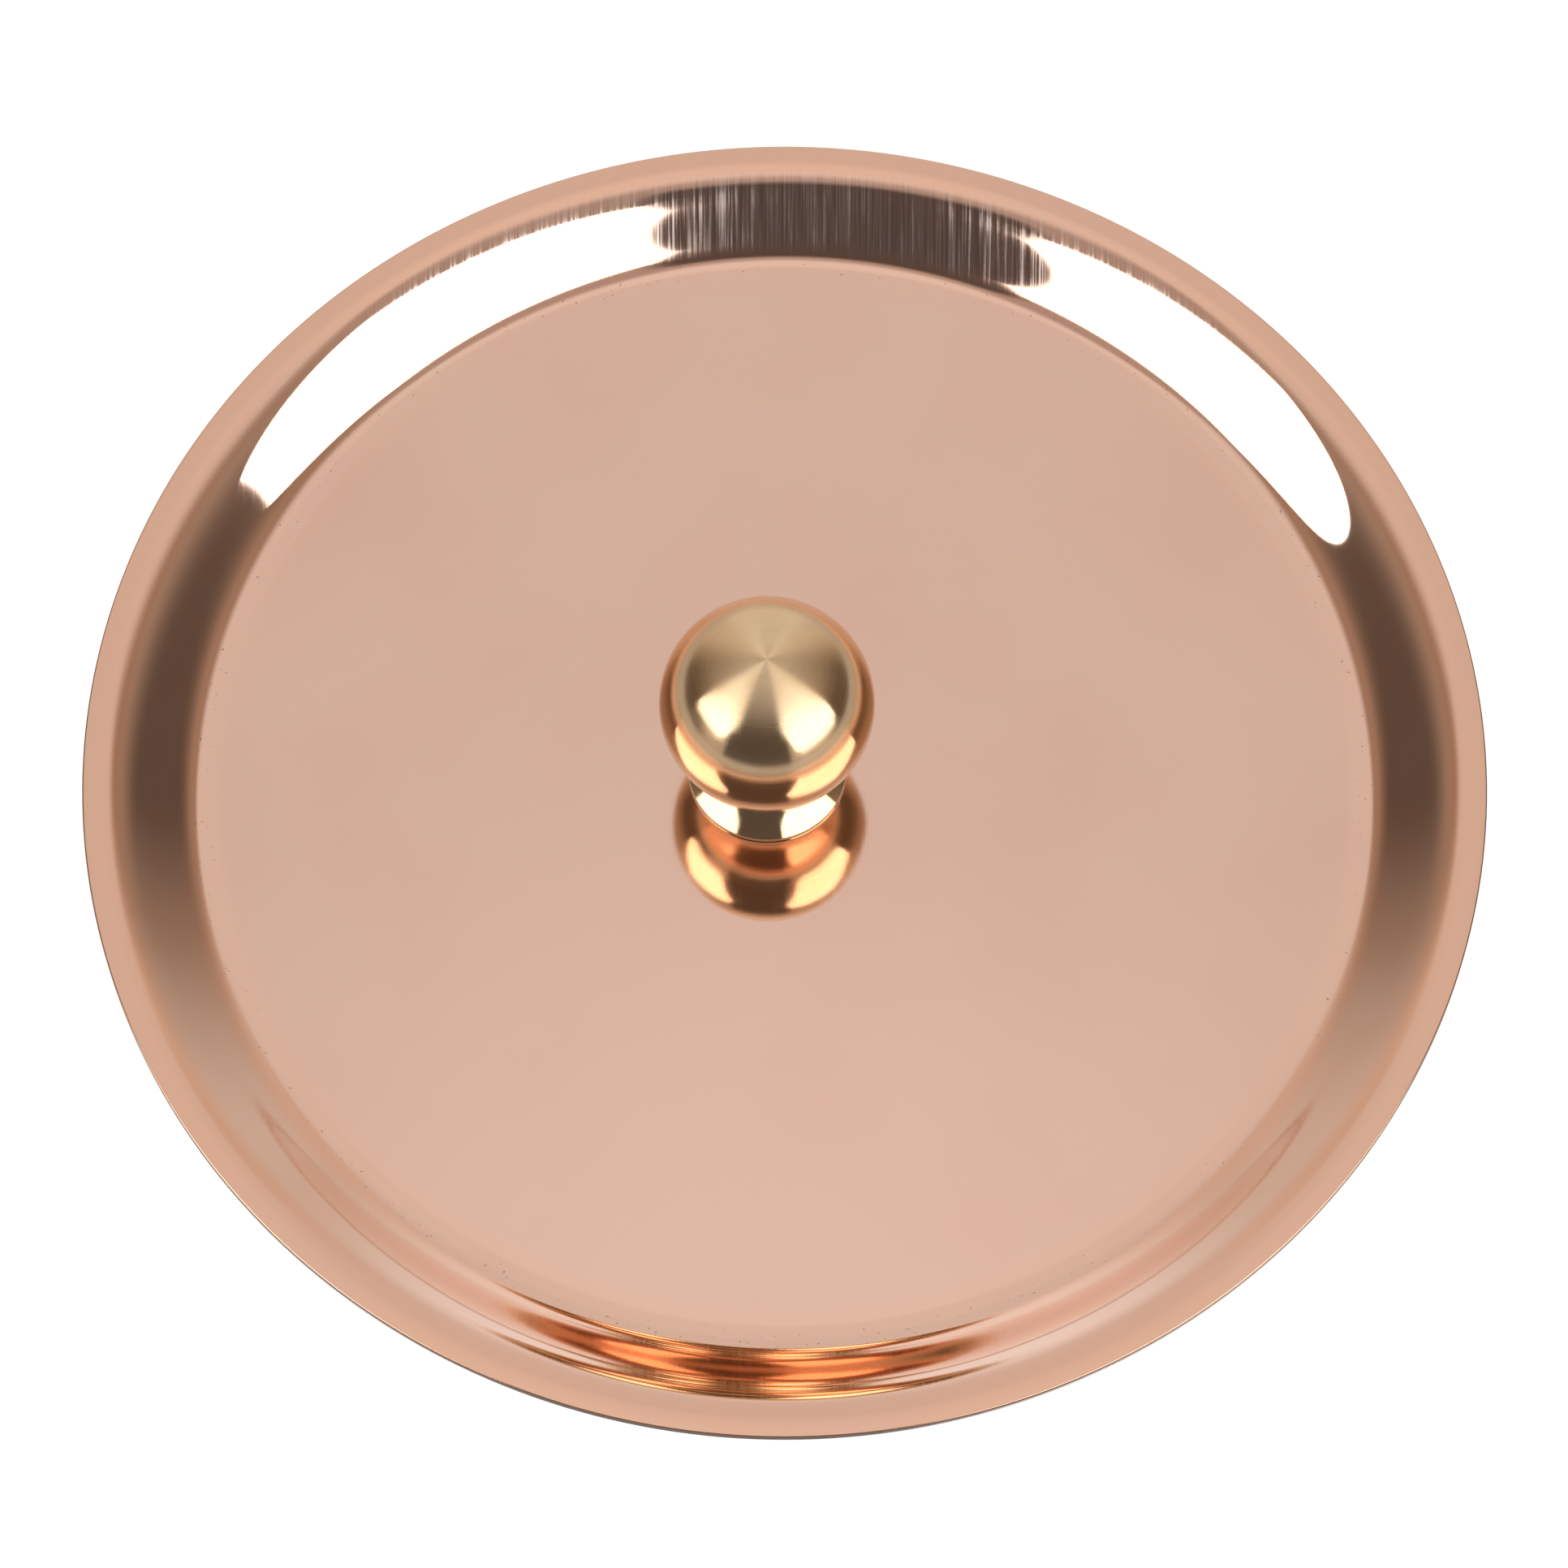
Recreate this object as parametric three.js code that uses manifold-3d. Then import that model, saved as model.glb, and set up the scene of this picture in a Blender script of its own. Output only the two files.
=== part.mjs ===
// An inset copper saucepan lid with a turned brass ball knob.
//
// Millimetres, +Z up. The lid stands knob up on the ring at the foot of its wall, and the origin is the centre
// of that ring, on the surface it stands on.
//
// The sheet is copper outside and a thin steel lining inside. It is described by the line of its top surface,
// from the axis outwards: a flat seat for the knob, a shallow dome, a flat standing ring, an ogee wall and a
// flat flange. Each layer is the space between two copies of that line moved down into the sheet, turned about
// the axis.
import * as THREE from "three";
import { mergeVertices } from "three/addons/utils/BufferGeometryUtils.js";
import Module from "manifold-3d";

const wasm = await Module();
wasm.setup();

// Sheet
const copperThickness = 0.8;
const liningThickness = 0.3;
const sheetThickness = copperThickness + liningThickness;

// Lid outline, on the top surface
const lidRadius = 85;
const flangeWidth = 2;
const wallRun = 11.9; // how far the wall reaches inwards
const wallDrop = 6.9; // how far the panel's edge lies below the flange
const wallShoulder = 4.5; // length of the curve's handle at the flange: longer is rounder
const wallHeel = 3.1; // the same at the foot of the wall
const ringWidth = 1.5;
const domeRadius = 600; // radius of the shallow dome's arc
const seatRadius = 12; // flat in the middle of the dome, under the knob
const edgeRound = 0.2;

// Knob
const knobOffset = -2.1; // along X: the hole is drilled a little beside the lid's centre
const ballRadius = 12.8;
const ballHeight = 19.5; // centre of the ball above the foot
const footRadius = 9.6;
const footRim = 0.8;
const neckRadius = 6.3;
const neckStart = 5; // where the flare of the foot has become the neck
const neckEnd = 7;
const neckJoin = THREE.MathUtils.degToRad(-45); // latitude where the ball takes over from the neck

// Screw, M4 with a slotted pan head, and its washer
const screwRadius = 2;
const screwClearance = 0.3;
const screwLength = 11;
const boreDepth = 12;
const headRadius = 4;
const headHeight = 2.2;
const slotWidth = 1.2;
const slotDepth = 1.1;
const washerRadius = 6;
const washerThickness = 0.8;
const restingGap = 0.05; // between pieces that press on each other

// Fineness
const lidSides = 64;
const knobSides = 40;
const screwSides = 24;
const domeSteps = 4;
const wallSteps = 9;
const flareSteps = 5;
const neckSteps = 4;
const ballSteps = 12;

const flangeTop = sheetThickness + wallDrop;
const flangeInner = lidRadius - flangeWidth;
const ringOuter = flangeInner - wallRun;
const ringInner = ringOuter - ringWidth;
const domeHeight = (r) => Math.sqrt(domeRadius ** 2 - r ** 2) - Math.sqrt(domeRadius ** 2 - ringInner ** 2);
const domeTop = sheetThickness + domeHeight(seatRadius);
const holeRadius = screwRadius + screwClearance;
const knobBase = domeTop + restingGap;
const washerTop = domeTop - sheetThickness - restingGap;
const headTop = washerTop - washerThickness - restingGap;

const point = (r, z) => new THREE.Vector2(r, z);

// One sample of the sheet's top line: a place, and the slope of the surface there.
const sample = (r, z, slope = 0) => ({ r, z, slope });

function domeLine() {
  return Array.from({ length: domeSteps }, (_, i) => {
    const r = THREE.MathUtils.lerp(seatRadius, ringInner, i / domeSteps);
    return sample(r, sheetThickness + domeHeight(r));
  });
}

function wallLine() {
  const curve = new THREE.CubicBezierCurve(
    point(ringOuter, sheetThickness),
    point(ringOuter + wallHeel, sheetThickness),
    point(flangeInner - wallShoulder, flangeTop),
    point(flangeInner, flangeTop),
  );
  return Array.from({ length: wallSteps + 1 }, (_, i) => {
    const at = curve.getPoint(i / wallSteps);
    const along = curve.getTangent(i / wallSteps);
    return sample(at.x, at.y, Math.atan2(along.y, along.x));
  });
}

const topLine = [
  sample(0, domeTop),
  ...domeLine(),
  sample(ringInner, sheetThickness),
  ...wallLine(),
  sample(lidRadius, flangeTop),
];

// The top line moved down into the sheet, square to the surface.
function lineAt(depth) {
  return topLine.map(({ r, z, slope }) =>
    point(r + depth * Math.sin(slope), z - depth * Math.cos(slope)),
  );
}

// A closed solid turned about Z. The profile goes anticlockwise round the material: out below, in above.
function turned(profile, sides) {
  return new THREE.LatheGeometry(profile, sides).rotateX(Math.PI / 2);
}

function solidOf(geometry) {
  const bare = geometry.clone();
  bare.deleteAttribute("normal");
  bare.deleteAttribute("uv");
  const merged = mergeVertices(bare, 1e-3);
  return new wasm.Manifold(
    new wasm.Mesh({
      numProp: 3,
      vertProperties: merged.attributes.position.array,
      triVerts: new Uint32Array(merged.index.array),
    }),
  );
}

function geometryOf(solid) {
  const mesh = solid.getMesh();
  const geometry = new THREE.BufferGeometry();
  geometry.setAttribute("position", new THREE.BufferAttribute(mesh.vertProperties, 3));
  geometry.setIndex(new THREE.BufferAttribute(mesh.triVerts, 1));
  return geometry;
}

function cut(geometry, tool) {
  return geometryOf(solidOf(geometry).subtract(solidOf(tool)));
}

// One layer of the sheet, with the screw's hole through it.
function layer(topDepth, bottomDepth) {
  const top = lineAt(topDepth);
  const bottom = lineAt(bottomDepth);
  const rimTop = top.pop();
  const rimBottom = bottom.pop();
  const round = Math.min(edgeRound, (bottomDepth - topDepth) / 3);
  const rim = [
    point(lidRadius - round, rimBottom.y),
    point(lidRadius, rimBottom.y + round),
    point(lidRadius, rimTop.y - round),
    point(lidRadius - round, rimTop.y),
  ];
  const hole = new THREE.CylinderGeometry(holeRadius, holeRadius, flangeTop * 2, screwSides);
  hole.rotateX(Math.PI / 2).translate(knobOffset, 0, 0);
  return cut(turned([...bottom, ...rim, ...top.reverse()], lidSides), hole);
}

// Ball, neck and flared foot in one, with a blind hole for the screw. Its foot is at z = 0.
function knobSolid() {
  const foot = [
    point(0, boreDepth),
    point(holeRadius, boreDepth),
    point(holeRadius, 0),
    point(footRadius - edgeRound, 0),
    point(footRadius, edgeRound),
  ];
  const flare = new THREE.CubicBezierCurve(
    point(footRadius, footRim),
    point(footRadius - 2.3, footRim + 1.5),
    point(neckRadius, footRim + 2.2),
    point(neckRadius, neckStart),
  );
  const onBall = (latitude) =>
    point(ballRadius * Math.cos(latitude), ballHeight + ballRadius * Math.sin(latitude));
  const join = onBall(neckJoin);
  const neck = new THREE.CubicBezierCurve(
    point(neckRadius, neckEnd),
    point(neckRadius, neckEnd + 1.1),
    point(join.x + 1.1 * Math.sin(neckJoin), join.y - 1.1 * Math.cos(neckJoin)),
    join,
  );
  const ball = Array.from({ length: ballSteps }, (_, i) =>
    onBall(THREE.MathUtils.lerp(neckJoin, Math.PI / 2, (i + 1) / ballSteps)),
  );
  ball[ballSteps - 1].x = 0;
  return turned(
    [...foot, ...flare.getPoints(flareSteps), ...neck.getPoints(neckSteps), ...ball],
    knobSides,
  );
}

// Pan head down, slot across X, shank up. The underside of the head, which bears on the washer, is at z = 0.
function screwSolid() {
  const crown = 0.75; // share of the head's height taken by its straight side
  const body = turned(
    [
      point(0, -headHeight),
      point(headRadius * 0.7, -headHeight),
      point(headRadius * 0.93, -headHeight * 0.9),
      point(headRadius, -headHeight * crown),
      point(headRadius, 0),
      point(screwRadius, 0),
      point(screwRadius, screwLength - 0.5),
      point(screwRadius - 0.5, screwLength),
      point(0, screwLength),
    ],
    screwSides,
  );
  const slot = new THREE.BoxGeometry(headRadius * 3, slotWidth, slotDepth * 2);
  slot.translate(0, 0, -headHeight);
  return cut(body, slot);
}

function washerSolid() {
  const ring = [
    point(holeRadius, -washerThickness),
    point(washerRadius, -washerThickness),
    point(washerRadius, 0),
    point(holeRadius, 0),
    point(holeRadius, -washerThickness),
  ];
  return turned(ring, screwSides);
}

function metal(color, roughness) {
  return new THREE.MeshStandardMaterial({ color, roughness, metalness: 1 });
}

const lid = new THREE.Group();

function add(name, geometry, material, x = 0, z = 0) {
  const mesh = new THREE.Mesh(geometry, material);
  mesh.name = name;
  mesh.position.set(x, 0, z);
  lid.add(mesh);
}

add("lid_shell", layer(0, copperThickness), metal(0xe0a483, 0.12));
add("lid_lining", layer(copperThickness, sheetThickness), metal(0xc9c9c6, 0.3));
add("knob", knobSolid(), metal(0xe3c98c, 0.2), knobOffset, knobBase);
add("knob_screw", screwSolid(), metal(0xb9bbbd, 0.25), knobOffset, headTop);
add("knob_washer", washerSolid(), metal(0xb9bbbd, 0.3), knobOffset, washerTop);

export default lid;
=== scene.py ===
"""A copper saucepan lid with a turned brass ball knob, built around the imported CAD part.

Metres, +Z up, knob up. Places and overall sizes come from the CAD nodes' boxes. The pieces here are finer
versions of the CAD solids: the same profiles, turned in many more steps, with their real surface finish.
"""

import math

import bmesh
import bpy
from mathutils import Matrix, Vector


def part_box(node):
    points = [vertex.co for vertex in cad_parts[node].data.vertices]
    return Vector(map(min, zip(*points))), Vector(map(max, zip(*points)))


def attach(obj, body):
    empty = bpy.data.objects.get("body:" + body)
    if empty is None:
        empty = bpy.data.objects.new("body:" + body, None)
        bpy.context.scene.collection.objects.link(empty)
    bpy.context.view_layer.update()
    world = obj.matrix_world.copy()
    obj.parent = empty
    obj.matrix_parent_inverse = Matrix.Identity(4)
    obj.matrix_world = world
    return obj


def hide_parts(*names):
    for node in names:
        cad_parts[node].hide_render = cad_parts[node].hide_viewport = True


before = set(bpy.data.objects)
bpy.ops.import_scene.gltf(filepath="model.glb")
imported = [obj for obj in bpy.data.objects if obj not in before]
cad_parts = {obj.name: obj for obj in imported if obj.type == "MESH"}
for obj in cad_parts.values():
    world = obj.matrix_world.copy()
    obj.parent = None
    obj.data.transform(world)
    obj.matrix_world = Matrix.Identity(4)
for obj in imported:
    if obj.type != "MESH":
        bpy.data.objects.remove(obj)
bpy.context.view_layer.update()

MM = 0.001

# ---------------------------------------------------------------- sizes

_, shell_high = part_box("lid_shell")
lining_low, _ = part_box("lid_lining")
knob_low, knob_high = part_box("knob")
screw_low, screw_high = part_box("knob_screw")
washer_low, washer_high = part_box("knob_washer")

# Sheet
LID_RADIUS = shell_high.x
FLANGE_TOP = shell_high.z
COPPER = 0.8 * MM
LINING = 0.3 * MM
SHEET = COPPER + LINING
EDGE_ROUND = 0.2 * MM
FLANGE_WIDTH = 2 * MM
WALL_RUN = 11.9 * MM  # how far the wall reaches inwards
WALL_SHOULDER = 4.5 * MM  # length of the curve's handle at the flange: longer is rounder
WALL_HEEL = 3.1 * MM  # the same at the foot of the wall
RING_WIDTH = 1.5 * MM
DOME_RADIUS = 600 * MM
SEAT_RADIUS = 12 * MM  # flat in the middle of the dome, under the knob
RING_BLEND = 0.06 * MM  # height over which the dome runs into the ring
FLANGE_INNER = LID_RADIUS - FLANGE_WIDTH
RING_OUTER = FLANGE_INNER - WALL_RUN
RING_INNER = RING_OUTER - RING_WIDTH

# Knob
KNOB_X = (knob_low.x + knob_high.x) / 2
KNOB_BASE = knob_low.z
BALL_RADIUS = (knob_high.x - knob_low.x) / 2
BALL_HEIGHT = knob_high.z - knob_low.z - BALL_RADIUS
FOOT_RADIUS = 9.6 * MM
FOOT_RIM = 0.8 * MM
FLARE_RUN = 2.3 * MM  # the flare's curve leaves the foot's rim this far inwards
FLARE_LIFT = 1.5 * MM  # and this far upwards
FLARE_TOP = 2.2 * MM  # and is drawn to the neck's line at this height over the rim
NECK_RADIUS = 6.3 * MM
NECK_START = 5 * MM
NECK_END = 7 * MM
NECK_REACH = 1.1 * MM  # length of the curve's handles between the neck and the ball
NECK_JOIN = math.radians(-45)  # latitude where the ball takes over from the neck
BORE_RADIUS = 2.3 * MM
BORE_DEPTH = 12 * MM

# Screw and washer
SCREW_RADIUS = 2 * MM
HEAD_RADIUS = (screw_high.x - screw_low.x) / 2
HEAD_HEIGHT = 2.2 * MM
HEAD_CROWN = 0.9 * MM
HEAD_STRAIGHT = HEAD_HEIGHT - HEAD_CROWN
HEAD_FLAT = 0.45  # share of the head's radius that is flat
SCREW_CHAMFER = 0.5 * MM
SCREW_LENGTH = screw_high.z - screw_low.z - HEAD_HEIGHT
SLOT_WIDTH = 1.2 * MM
SLOT_DEPTH = 1.1 * MM
WASHER_RADIUS = (washer_high.x - washer_low.x) / 2
WASHER_LOW = washer_low.z
WASHER_THICKNESS = washer_high.z - washer_low.z
WASHER_EDGE = 0.12 * MM
HEAD_TOP = screw_low.z + HEAD_HEIGHT

# Fineness
LID_SIDES = 288
KNOB_SIDES = 144
SCREW_SIDES = 64
DOME_STEPS = 44
WALL_STEPS = 48
ROUND_STEPS = 4
FLARE_STEPS = 20
NECK_STEPS = 12
BALL_STEPS = 60
CROWN_STEPS = 8
SHARP_ANGLE = math.radians(35)


# ---------------------------------------------------------------- profiles

def bezier(p0, p1, p2, p3, steps):
    """Points of a cubic curve in a profile, each as (r, z, slope of the curve there)."""
    made = []
    for i in range(steps + 1):
        t = i / steps
        u = 1 - t
        weights = (u**3, 3 * u * u * t, 3 * u * t * t, t**3)
        r, z = (sum(w * p[k] for w, p in zip(weights, (p0, p1, p2, p3))) for k in (0, 1))
        turns = (3 * u * u, 6 * u * t, 3 * t * t)
        legs = [(b[0] - a[0], b[1] - a[1]) for a, b in ((p0, p1), (p1, p2), (p2, p3))]
        dr, dz = (sum(w * leg[k] for w, leg in zip(turns, legs)) for k in (0, 1))
        made.append((r, z, math.atan2(dz, dr)))
    return made


def dome_height(r):
    """Height of the plain dome over the standing ring."""
    return math.sqrt(DOME_RADIUS**2 - r * r) - math.sqrt(DOME_RADIUS**2 - RING_INNER**2)


def dome_point(r):
    """A point of the dome, which runs smoothly into the flat ring, as (r, z, slope)."""
    plain, top = dome_height(r), dome_height(SEAT_RADIUS)
    lift = (top + RING_BLEND) / top
    height = lift * plain * plain / (plain + RING_BLEND)
    share = lift * plain * (plain + 2 * RING_BLEND) / (plain + RING_BLEND) ** 2
    return (r, SHEET + height, -math.atan(share * math.tan(math.asin(r / DOME_RADIUS))))


def top_line():
    """The sheet's top surface from the axis to the rim, as (r, z, slope)."""
    seat = SHEET + dome_height(SEAT_RADIUS)
    dome = [(0, seat, 0), (SEAT_RADIUS, seat, 0)]
    for i in range(1, DOME_STEPS):
        inwards = (1 - i / DOME_STEPS) ** 2
        dome.append(dome_point(RING_INNER - (RING_INNER - SEAT_RADIUS) * inwards))
    wall = bezier(
        (RING_OUTER, SHEET),
        (RING_OUTER + WALL_HEEL, SHEET),
        (FLANGE_INNER - WALL_SHOULDER, FLANGE_TOP),
        (FLANGE_INNER, FLANGE_TOP),
        WALL_STEPS,
    )
    return [*dome, (RING_INNER, SHEET, 0), *wall, (LID_RADIUS, FLANGE_TOP, 0)]


def line_at(depth):
    """The top line moved down into the sheet, square to the surface."""
    return [(r + depth * math.sin(s), z - depth * math.cos(s)) for r, z, s in top_line()]


def layer_profile(top_depth, bottom_depth):
    """One layer of the sheet: out along its underside, round the rim and back along its top."""
    top, bottom = line_at(top_depth), line_at(bottom_depth)
    rim_top, rim_bottom = top.pop()[1], bottom.pop()[1]
    edge = min(EDGE_ROUND, (bottom_depth - top_depth) / 3)
    rim = []
    for start, z in ((-90, rim_bottom + edge), (0, rim_top - edge)):
        for k in range(ROUND_STEPS + 1):
            a = math.radians(start + 90 * k / ROUND_STEPS)
            rim.append((LID_RADIUS - edge + edge * math.cos(a), z + edge * math.sin(a)))
    return bottom + rim + top[::-1]


def knob_profile():
    """From the top of the screw's blind hole, down and out round the foot, then up to the top of the ball."""
    foot = [(0, BORE_DEPTH), (BORE_RADIUS, BORE_DEPTH), (BORE_RADIUS, 0)]
    foot += [(FOOT_RADIUS - EDGE_ROUND, 0), (FOOT_RADIUS, EDGE_ROUND)]
    flare = bezier(
        (FOOT_RADIUS, FOOT_RIM),
        (FOOT_RADIUS - FLARE_RUN, FOOT_RIM + FLARE_LIFT),
        (NECK_RADIUS, FOOT_RIM + FLARE_TOP),
        (NECK_RADIUS, NECK_START),
        FLARE_STEPS,
    )

    def on_ball(latitude):
        return (BALL_RADIUS * math.cos(latitude), BALL_HEIGHT + BALL_RADIUS * math.sin(latitude))

    join = on_ball(NECK_JOIN)
    neck = bezier(
        (NECK_RADIUS, NECK_END),
        (NECK_RADIUS, NECK_END + NECK_REACH),
        (join[0] + NECK_REACH * math.sin(NECK_JOIN), join[1] - NECK_REACH * math.cos(NECK_JOIN)),
        join,
        NECK_STEPS,
    )
    arc = math.pi / 2 - NECK_JOIN
    ball = [on_ball(NECK_JOIN + arc * (i + 1) / BALL_STEPS) for i in range(BALL_STEPS)]
    ball[-1] = (0, ball[-1][1])
    return foot + [p[:2] for p in flare + neck] + ball


def screw_profile():
    """Pan head down, shank up. The face that bears on the washer is at z = 0."""
    crown = []
    for k in range(CROWN_STEPS + 1):
        a = math.radians(90 * k / CROWN_STEPS)
        r = HEAD_RADIUS * (HEAD_FLAT + (1 - HEAD_FLAT) * math.sin(a))
        crown.append((r, -HEAD_STRAIGHT - HEAD_CROWN * math.cos(a)))
    shank = [
        (SCREW_RADIUS, 0),
        (SCREW_RADIUS, SCREW_LENGTH - SCREW_CHAMFER),
        (SCREW_RADIUS - SCREW_CHAMFER, SCREW_LENGTH),
        (0, SCREW_LENGTH),
    ]
    return [(0, crown[0][1]), *crown, (HEAD_RADIUS, 0), *shank]


def washer_profile():
    """A flat ring from z = 0 up, with its outer edges broken."""
    return [
        (BORE_RADIUS, 0),
        (WASHER_RADIUS - WASHER_EDGE, 0),
        (WASHER_RADIUS, WASHER_EDGE),
        (WASHER_RADIUS, WASHER_THICKNESS - WASHER_EDGE),
        (WASHER_RADIUS - WASHER_EDGE, WASHER_THICKNESS),
        (BORE_RADIUS, WASHER_THICKNESS),
    ]


# ---------------------------------------------------------------- meshes

def object_from(name, bm):
    """Makes an object of the mesh being built, and puts it into the scene."""
    mesh = bpy.data.meshes.new(name)
    bm.to_mesh(mesh)
    bm.free()
    made = bpy.data.objects.new(name, mesh)
    bpy.context.scene.collection.objects.link(made)
    return made


def turned(name, profile, sides, material, place=(0, 0, 0)):
    """A solid turned about Z. The profile starts and ends on the axis, or closes on itself."""
    bm = bmesh.new()
    rings = []
    for r, z in profile:
        if r == 0:
            rings.append([bm.verts.new((0, 0, z))])
            continue
        angles = [2 * math.pi * k / sides for k in range(sides)]
        rings.append([bm.verts.new((r * math.cos(a), r * math.sin(a), z)) for a in angles])
    if len(rings[0]) > 1:
        rings.append(rings[0])
    for a, b in zip(rings, rings[1:]):
        for k in range(sides):
            n = (k + 1) % sides
            corners = [a[k % len(a)], a[n % len(a)], b[n % len(b)], b[k % len(b)]]
            face = [v for i, v in enumerate(corners) if v not in corners[:i]]
            if len(face) > 2:
                bm.faces.new(face).smooth = True
    piece = object_from(name, bm)
    piece.data.set_sharp_from_angle(angle=SHARP_ANGLE)
    piece.data.materials.append(material)
    piece.location = place
    return piece


def cut(piece, tool):
    """Takes the tool's volume out of the piece, and removes the tool."""
    modifier = piece.modifiers.new("cut", "BOOLEAN")
    modifier.operation = "DIFFERENCE"
    modifier.object = tool
    graph = bpy.context.evaluated_depsgraph_get()
    made = bpy.data.meshes.new_from_object(piece.evaluated_get(graph))
    piece.modifiers.clear()
    piece.data = made
    made.set_sharp_from_angle(angle=SHARP_ANGLE)
    bpy.data.objects.remove(tool)
    return piece


def block(low, high):
    """A box between two corners, to cut with."""
    bm = bmesh.new()
    bmesh.ops.create_cube(bm, size=1)
    for v in bm.verts:
        v.co = [(a + b) / 2 + share * (b - a) for a, b, share in zip(low, high, v.co)]
    return object_from("block", bm)


# ---------------------------------------------------------------- node graphs

class Graph:
    """A node tree, with short ways to build it. A value is a number, a tuple or another node's output."""

    def __init__(self, tree):
        self.tree = tree

    def add(self, kind, **settings):
        node = self.tree.nodes.new("ShaderNode" + kind)
        for key, value in settings.items():
            setattr(node, key, value)
        return node

    def put(self, value, socket):
        if isinstance(value, bpy.types.NodeSocket):
            self.tree.links.new(value, socket)
        else:
            socket.default_value = value

    def math(self, operation, *values):
        node = self.add("Math", operation=operation)
        for value, socket in zip(values, node.inputs):
            self.put(value, socket)
        return node.outputs[0]

    def product(self, values):
        total = values[0]
        for value in values[1:]:
            total = self.math("MULTIPLY", total, value)
        return total

    def step(self, value, low, high, at_low=0.0, at_high=1.0):
        """A smooth step from at_low to at_high as the value goes from low to high, which may be lower."""
        if low > high:
            low, high, at_low, at_high = high, low, at_high, at_low
        node = self.add("MapRange", interpolation_type="SMOOTHSTEP")
        for number, socket in zip((value, low, high, at_low, at_high), node.inputs):
            self.put(number, socket)
        return node.outputs["Result"]

    def blend(self, under, over, *masks):
        """One colour laid over another where all the masks are 1."""
        node = self.add("Mix", data_type="RGBA")
        self.put(self.product(masks), node.inputs["Factor"])
        for color, socket in ((under, node.inputs[6]), (over, node.inputs[7])):
            self.put((*color, 1) if isinstance(color, tuple) else color, socket)
        return node.outputs[2]


class Metal(Graph):
    """A metal's material. Its coordinates are millimetres from the piece's own origin."""

    def __init__(self, name):
        self.material = bpy.data.materials.new(name)
        self.material.use_nodes = True
        super().__init__(self.material.node_tree)
        self.shader = self.tree.nodes["Principled BSDF"]
        self.set(Metallic=1.0)
        scaled = self.add("VectorMath", operation="SCALE")
        self.put(self.add("TexCoord").outputs["Object"], scaled.inputs[0])
        scaled.inputs["Scale"].default_value = 1 / MM
        self.place = scaled.outputs[0]
        self.z = self.across(self.place, 2)
        flat = self.add("CombineXYZ")
        self.put(self.across(self.place, 0), flat.inputs[0])
        self.put(self.across(self.place, 1), flat.inputs[1])
        length = self.add("VectorMath", operation="LENGTH")
        self.put(flat.outputs[0], length.inputs[0])
        self.radius = length.outputs["Value"]
        unit = self.add("VectorMath", operation="NORMALIZE")
        self.put(flat.outputs[0], unit.inputs[0])
        self.heading = unit.outputs[0]

    def set(self, **values):
        for name, value in values.items():
            self.put(value, self.shader.inputs[name.replace("_", " ")])

    def noise(self, place, sizes, detail):
        """Noise about 0.5. Its blotches have about these sizes along the three coordinates."""
        scaled = self.add("Mapping")
        self.put(place, scaled.inputs["Vector"])
        scaled.inputs["Scale"].default_value = [1 / size for size in sizes]
        node = self.add("TexNoise")
        self.put(scaled.outputs[0], node.inputs["Vector"])
        node.inputs["Scale"].default_value = 1
        node.inputs["Detail"].default_value = detail
        return node.outputs["Fac"]

    def across(self, vector, axis):
        """One coordinate of a vector."""
        split = self.add("SeparateXYZ")
        self.put(vector, split.inputs[0])
        return split.outputs[axis]

    def round_place(self):
        """Coordinates for lines round the axis: the heading as a unit circle, and the way along a profile."""
        along = self.math("SUBTRACT", self.radius, self.z)
        lift = self.add("CombineXYZ")
        self.put(along, lift.inputs[2])
        total = self.add("VectorMath", operation="ADD")
        self.put(self.heading, total.inputs[0])
        self.put(lift.outputs[0], total.inputs[1])
        return total.outputs[0]

    def relief(self, height, depth):
        """Small relief: the height, from 0 to 1, times the depth in metres."""
        bump = self.add("Bump")
        bump.inputs["Distance"].default_value = depth
        self.put(height, bump.inputs["Height"])
        self.put(bump.outputs[0], self.shader.inputs["Normal"])

    def grain_round_axis(self, amount):
        """Stretches highlights across the lathe's lines."""
        self.set(Anisotropic=amount, Anisotropic_Rotation=0.25)
        around = self.add("Tangent", direction_type="RADIAL", axis="Z")
        self.put(around.outputs[0], self.shader.inputs["Tangent"])

    def grain_along_y(self, amount):
        """Stretches highlights across brush lines that run along the piece's own Y."""
        self.set(Anisotropic=amount, Anisotropic_Rotation=0.25)
        along = self.add("VectorTransform", vector_type="VECTOR", convert_from="OBJECT", convert_to="WORLD")
        along.inputs[0].default_value = (0, 1, 0)
        self.put(along.outputs[0], self.shader.inputs["Tangent"])


# ---------------------------------------------------------------- materials

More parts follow.
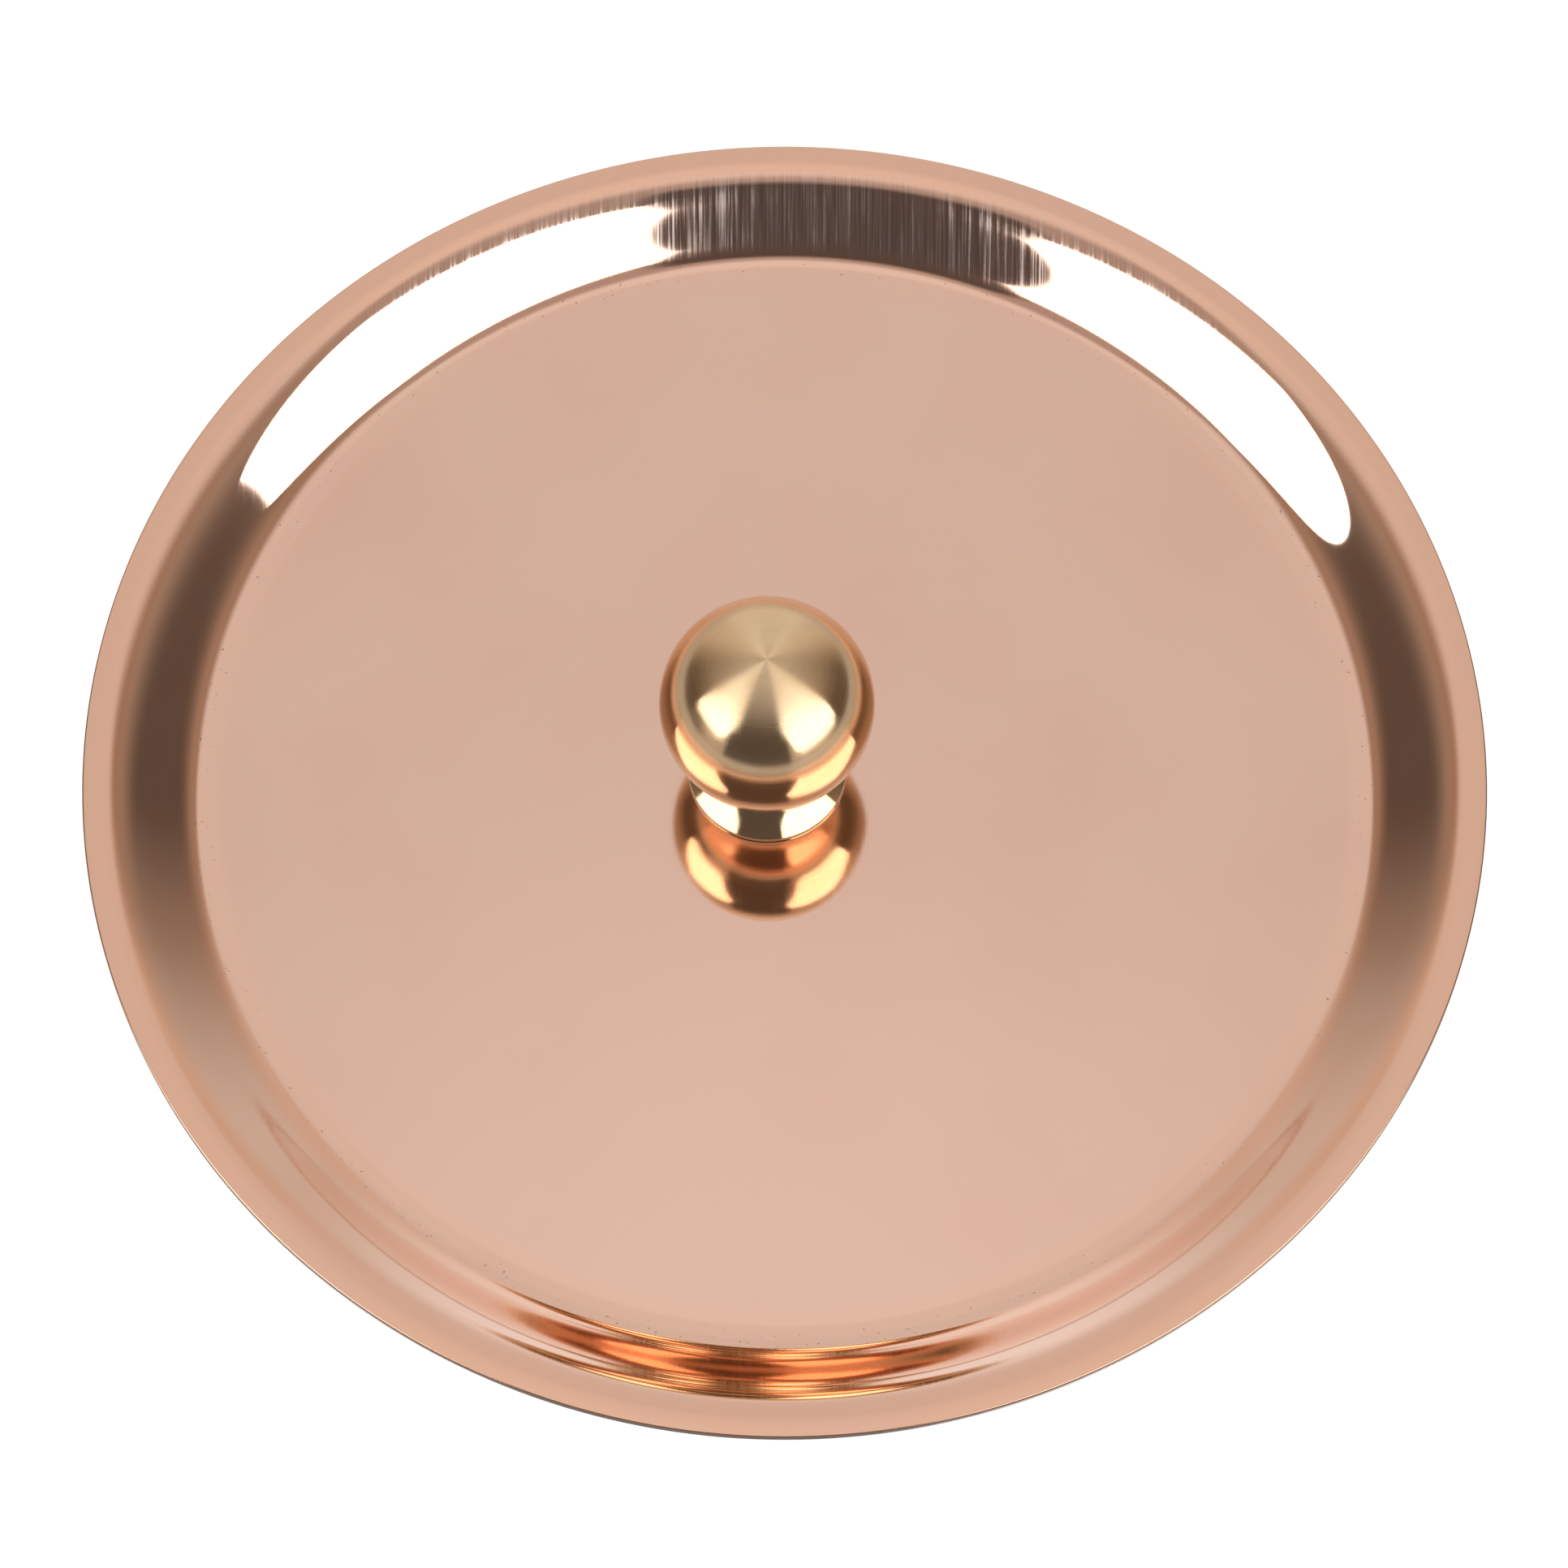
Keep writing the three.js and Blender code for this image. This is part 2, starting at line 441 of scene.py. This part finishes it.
def polished_copper():
    """Warm copper with fine brush lines along Y, strongest on the wall's far side, where pale lines are
    painted glints of those lines, and a darker, rougher band at the rim.
    """
    m = Metal("polished_copper")
    panel, ring = (0.93, 0.605, 0.47), (0.95, 0.60, 0.45)
    wall, flange = (0.93, 0.66, 0.535), (0.93, 0.55, 0.385)
    dark_line, pale_line = (0.74, 0.50, 0.41), (0.97, 0.82, 0.74)
    cloud, pit, edge = (0.90, 0.55, 0.41), (0.55, 0.33, 0.24), (0.42, 0.28, 0.21)
    wall_start, wall_end, rim = RING_OUTER / MM, FLANGE_INNER / MM, LID_RADIUS / MM
    on_wall = m.product((
        m.step(m.radius, wall_start + 1.5, wall_start + 4),
        m.step(m.radius, wall_end - 1, wall_end - 3.5),
    ))
    # A thin band at the rim, darker in colour and rougher.
    dark_rim_band = m.step(m.radius, rim - 0.12, rim - 0.04)
    lines = m.noise(m.place, (0.26, 16, 16), 3)
    patchy = m.noise(m.place, (5, 9, 9), 2)
    brush_lines_and_glints = m.product((m.step(lines, 0.45, 0.7), m.step(patchy, 0.3, 0.6, 0.5, 1)))
    # The far side of the wall, where the brush lines show: darker lines, rougher lines, and pale lines that
    # are painted glints.
    far_wall_lines_and_glints = m.product((on_wall, m.step(m.across(m.heading, 1), 0.65, 0.88)))

    color = m.blend(panel, ring, m.step(m.radius, wall_start - 4.5, wall_start - 2))
    color = m.blend(color, wall, on_wall)
    color = m.blend(color, flange, m.step(m.radius, wall_end - 4, wall_end - 1))
    color = m.blend(color, dark_line, m.step(lines, 0.52, 0.36), far_wall_lines_and_glints)
    # Painted glints: the brush lines on the far wall are drawn paler, standing in for the softboxes' light
    # that real scratches scatter.
    color = m.blend(color, pale_line, brush_lines_and_glints, far_wall_lines_and_glints)
    cloudy = m.noise(m.place, (22, 22, 22), 3)
    color = m.blend(color, cloud, m.step(cloudy, 0.42, 0.75, 0, 0.35))
    pits = m.noise(m.place, (0.5, 0.5, 0.5), 1)
    foot_inside = m.step(m.radius, wall_start - 2, wall_start)
    foot_outside = m.step(m.radius, wall_start + 2, wall_start + 0.5)
    color = m.blend(color, pit, m.step(pits, 0.70, 0.78), foot_inside, foot_outside)
    m.set(Base_Color=m.blend(color, edge, dark_rim_band))

    brush_depth = m.math("MULTIPLY_ADD", far_wall_lines_and_glints, 0.10, 0.02)
    roughness = m.math("MULTIPLY_ADD", brush_lines_and_glints, brush_depth, 0.05)
    m.set(Roughness=m.math("MULTIPLY_ADD", dark_rim_band, 0.4, roughness))
    m.grain_along_y(0.9)
    m.relief(lines, 0.0008 * MM)
    return m.material


def turned_brass():
    """Yellow brass off the lathe: fine lines round the axis, some of them duller, and a satin crown."""
    m = Metal("turned_brass")
    brass, dull_line, pale = (0.90, 0.635, 0.375), (0.82, 0.56, 0.31), (0.92, 0.665, 0.41)
    lines = m.noise(m.round_place(), (0.8, 0.8, 0.22), 3)
    cloudy = m.noise(m.place, (4, 4, 4), 2)
    color = m.blend(brass, dull_line, m.step(lines, 0.5, 0.72, 0, 0.4))
    color = m.blend(color, pale, m.step(cloudy, 0.45, 0.7))
    m.set(Base_Color=color)
    top = (BALL_HEIGHT + BALL_RADIUS) / MM
    satin_crown = m.step(m.z, top - 4.5, top - 1, 0.10, 0.33)
    m.set(Roughness=m.math("MULTIPLY_ADD", m.step(lines, 0.4, 0.7), 0.04, satin_crown))
    m.grain_round_axis(0.95)
    m.relief(lines, 0.0007 * MM)
    return m.material


def spun_steel():
    """Satin steel with the broad, even lines of spinning."""
    m = Metal("spun_steel")
    steel_grey, pale_line, mark = (0.58, 0.575, 0.56), (0.66, 0.65, 0.63), (0.52, 0.51, 0.49)
    lines = m.noise(m.round_place(), (1.5, 1.5, 0.35), 4)
    color = m.blend(steel_grey, pale_line, m.step(lines, 0.35, 0.65))
    marks = m.noise(m.place, (9, 9, 9), 4)
    color = m.blend(color, mark, m.step(marks, 0.55, 0.8, 0, 0.7))
    m.set(Base_Color=color)
    m.set(Roughness=m.math("MULTIPLY_ADD", lines, 0.25, 0.18))
    m.grain_round_axis(0.6)
    m.relief(lines, 0.005 * MM)
    return m.material


def plated_steel():
    """Bright zinc plating, slightly blue and uneven."""
    m = Metal("plated_steel")
    blue_zinc, yellow_zinc = (0.60, 0.62, 0.65), (0.66, 0.65, 0.61)
    patches = m.noise(m.place, (1.2, 1.2, 1.2), 3)
    color = m.blend(blue_zinc, yellow_zinc, m.step(patches, 0.4, 0.62))
    m.set(Base_Color=color)
    m.set(Roughness=m.step(patches, 0.3, 0.7, 0.18, 0.34))
    m.relief(m.noise(m.place, (0.3, 0.3, 0.3), 3), 0.006 * MM)
    return m.material


# ---------------------------------------------------------------- pieces

def finished(piece, node):
    """Hides the CAD node that the piece stands for and puts the piece under the body empty. The whole lid is
    one rigid body.
    """
    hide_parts(node)
    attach(piece, "root")


def sheet_layer(name, top_depth, bottom_depth, material):
    """One layer of the lid, with the screw's hole through it."""
    drill = [(0, 0), (BORE_RADIUS, 0), (BORE_RADIUS, FLANGE_TOP), (0, FLANGE_TOP)]
    tool = turned("drill", drill, SCREW_SIDES, material, (KNOB_X, 0, 0))
    # Turned by half a side, so that none of its corners meets an edge of the layer.
    tool.rotation_euler.z = math.pi / SCREW_SIDES
    return cut(turned(name, layer_profile(top_depth, bottom_depth), LID_SIDES, material), tool)


def ball_knob(material):
    """Ball, neck and flared foot in one."""
    return turned("ball_knob", knob_profile(), KNOB_SIDES, material, (KNOB_X, 0, KNOB_BASE))


def slotted_screw(material):
    """The screw, head down, with a slot along X across its head."""
    screw = turned("knob_screw_m4", screw_profile(), SCREW_SIDES, material, (KNOB_X, 0, HEAD_TOP))
    slot_low = (KNOB_X - 2 * HEAD_RADIUS, -SLOT_WIDTH / 2, screw_low.z - SLOT_DEPTH)
    slot_high = (KNOB_X + 2 * HEAD_RADIUS, SLOT_WIDTH / 2, screw_low.z + SLOT_DEPTH)
    return cut(screw, block(slot_low, slot_high))


def plain_washer(material):
    """The flat washer between the screw's head and the lining."""
    return turned("washer_plain", washer_profile(), SCREW_SIDES, material, (KNOB_X, 0, WASHER_LOW))


steel = plated_steel()
finished(sheet_layer("copper_shell", 0, COPPER, polished_copper()), "lid_shell")
finished(sheet_layer("steel_lining", COPPER, SHEET, spun_steel()), "lid_lining")
finished(ball_knob(turned_brass()), "knob")
finished(slotted_screw(steel), "knob_screw")
finished(plain_washer(steel), "knob_washer")


# ---------------------------------------------------------------- stage

FLANGE_CENTRE = Vector((0, 0, FLANGE_TOP))
SOFTBOX_DISTANCE = 2.2
SOFTBOX_STRENGTH = 2.5
CORNER_CUT = (0.25, 0.25)  # what is cut off a softbox's corner, across and down, as shares of its half width
FLOOR_RADIUS = 0.4
FLOOR_GREY = 0.55
FLOOR_GLOW = 0.8  # added only where the camera looks straight at the floor


def direction(azimuth, elevation):
    """A unit vector. Azimuth 0 is towards the camera's side, positive to the right."""
    a, e = math.radians(azimuth), math.radians(elevation)
    return Vector((math.sin(a) * math.cos(e), -math.cos(a) * math.cos(e), math.sin(e)))


def glowing(name):
    """The material of a softbox, which only gives light."""
    material = bpy.data.materials.new(name)
    material.use_nodes = True
    material.node_tree.nodes.clear()
    graph = Graph(material.node_tree)
    glow = graph.add("Emission")
    glow.inputs["Strength"].default_value = SOFTBOX_STRENGTH
    graph.put(glow.outputs[0], graph.add("OutputMaterial").inputs["Surface"])
    return material


def softbox(name, azimuth, elevation, radius, outer_cut):
    """A square softbox with cut corners that faces the lid. The radius is half its width.

    The outer cut is for its upper corner on the side away from the camera.
    """
    outer = math.copysign(1, azimuth)
    bm = bmesh.new()
    corners = []
    for x, y in ((1, -1), (1, 1), (-1, 1), (-1, -1)):
        across, down = outer_cut if (x, y) == (outer, 1) else CORNER_CUT
        ends = [(x * (1 - across), y), (x, y * (1 - down))]
        if x == y:
            ends.reverse()
        corners += [bm.verts.new(Vector((*end, 0)) * radius) for end in ends]
    bm.faces.new(corners)
    light = object_from(name, bm)
    towards = direction(azimuth, elevation)
    light.location = FLANGE_CENTRE + towards * SOFTBOX_DISTANCE
    light.rotation_mode = "QUATERNION"
    light.rotation_quaternion = towards.to_track_quat("Z", "Y")
    light.visible_camera = False
    light.data.materials.append(glowing(name))


class Sky(Graph):
    """The studio round the lid as a map of directions: azimuth 0 is the camera's side, 90 is the right."""

    def __init__(self, color):
        world = bpy.data.worlds.new("studio")
        bpy.context.scene.world = world
        world.use_nodes = True
        super().__init__(world.node_tree)
        split = self.add("SeparateXYZ")
        self.put(self.add("TexCoord").outputs["Generated"], split.inputs[0])
        x, y, z = split.outputs
        self.azimuth = self.math("DEGREES", self.math("ARCTAN2", x, self.math("MULTIPLY", y, -1.0)))
        self.elevation = self.math("DEGREES", self.math("ARCSINE", z))
        self.color = color

    def around(self, azimuth, inner, outer):
        """1 within inner degrees of that azimuth, 0 beyond outer degrees."""
        turned_by = self.math("SUBTRACT", self.azimuth, azimuth)
        wrapped = self.math("WRAP", turned_by, 180.0, -180.0)
        return self.step(self.math("ABSOLUTE", wrapped), outer, inner)

    def lay(self, color, *masks):
        """Lays an area of one colour over what is there."""
        self.color = self.blend(self.color, color, *masks)

    def finish(self, seen_by_camera):
        """Shows the camera one plain colour, and everything else the studio."""
        self.lay(seen_by_camera, self.add("LightPath").outputs["Is Camera Ray"])
        self.put(self.color, self.tree.nodes["Background"].inputs["Color"])


def studio():
    """A pale room with a darker front and sides. Each area ends softly between two elevations."""
    ceiling, back_wall, front_wall = (0.80, 0.80, 0.80), (0.90, 0.90, 0.90), (0.45, 0.40, 0.37)
    behind_camera = (0.10, 0.088, 0.085)
    back_corner, side_wall, side_foot = (0.64, 0.57, 0.51), (0.36, 0.28, 0.22), (0.12, 0.09, 0.072)
    room = (0.7, 0.7, 0.7)
    sky = Sky(room)
    sky.lay(ceiling, sky.step(sky.elevation, 62, 84))
    sky.lay(back_wall, sky.around(180, 35, 55), sky.step(sky.elevation, 30, 8))
    sky.lay(front_wall, sky.around(0, 75, 95), sky.step(sky.elevation, 80, 66))
    sky.lay(behind_camera, sky.around(-9, 28, 34), sky.step(sky.elevation, 68, 60))
    for side in (-1, 1):
        sky.lay(back_corner, sky.around(side * 138, 12, 30), sky.step(sky.elevation, 60, 44))
        sky.lay(side_wall, sky.around(side * 104, 24, 44), sky.step(sky.elevation, 66, 48))
        sky.lay(side_foot, sky.around(side * 96, 20, 40), sky.step(sky.elevation, 44, 20))
    sky.finish((1.0, 1.0, 1.0))


def pale_floor():
    """The floor's material: mid grey, with a white glow that only the camera sees."""
    material = bpy.data.materials.new("pale_floor")
    material.use_nodes = True
    graph = Graph(material.node_tree)
    shader = material.node_tree.nodes["Principled BSDF"]
    shader.inputs["Base Color"].default_value = (FLOOR_GREY, FLOOR_GREY, FLOOR_GREY, 1)
    shader.inputs["Roughness"].default_value = 0.9
    shader.inputs["Emission Color"].default_value = (1, 1, 1, 1)
    seen = graph.add("LightPath").outputs["Is Camera Ray"]
    graph.put(graph.math("MULTIPLY", seen, FLOOR_GLOW), shader.inputs["Emission Strength"])
    return material


def floor_disc():
    """A round floor under the lid, at the height that the lid stands on."""
    bm = bmesh.new()
    bmesh.ops.create_circle(bm, cap_ends=True, segments=64, radius=FLOOR_RADIUS)
    floor = object_from("floor", bm)
    floor.location.z = lining_low.z
    floor.data.materials.append(pale_floor())


softbox("softbox_right", 52.6, 30.6, 1.09, (0.65, 0.8))
softbox("softbox_left", -66, 33.8, 0.89, (0.55, 1.45))
studio()
floor_disc()


# ---------------------------------------------------------------- camera

CAMERA_ELEVATION = 66.6
CAMERA_DISTANCE = 8 * LID_RADIUS
LID_SHARE = 0.4476  # the lid's radius as a share of the picture's width
SHIFT = (-0.0004, -0.0155)  # across and up, as shares of the picture's width
SENSOR_WIDTH = 36  # mm


def aim_camera():
    """Looks at the middle of the flange from the front."""
    camera = bpy.data.objects.new("camera", bpy.data.cameras.new("camera"))
    bpy.context.scene.collection.objects.link(camera)
    bpy.context.scene.camera = camera
    camera.data.sensor_width = SENSOR_WIDTH
    camera.data.lens = SENSOR_WIDTH * LID_SHARE * CAMERA_DISTANCE / LID_RADIUS
    camera.data.shift_x, camera.data.shift_y = SHIFT
    back = direction(0, CAMERA_ELEVATION)
    camera.location = FLANGE_CENTRE + back * CAMERA_DISTANCE
    camera.rotation_mode = "QUATERNION"
    camera.rotation_quaternion = back.to_track_quat("Z", "Y")


aim_camera()
bpy.context.scene.view_settings.view_transform = "Standard"
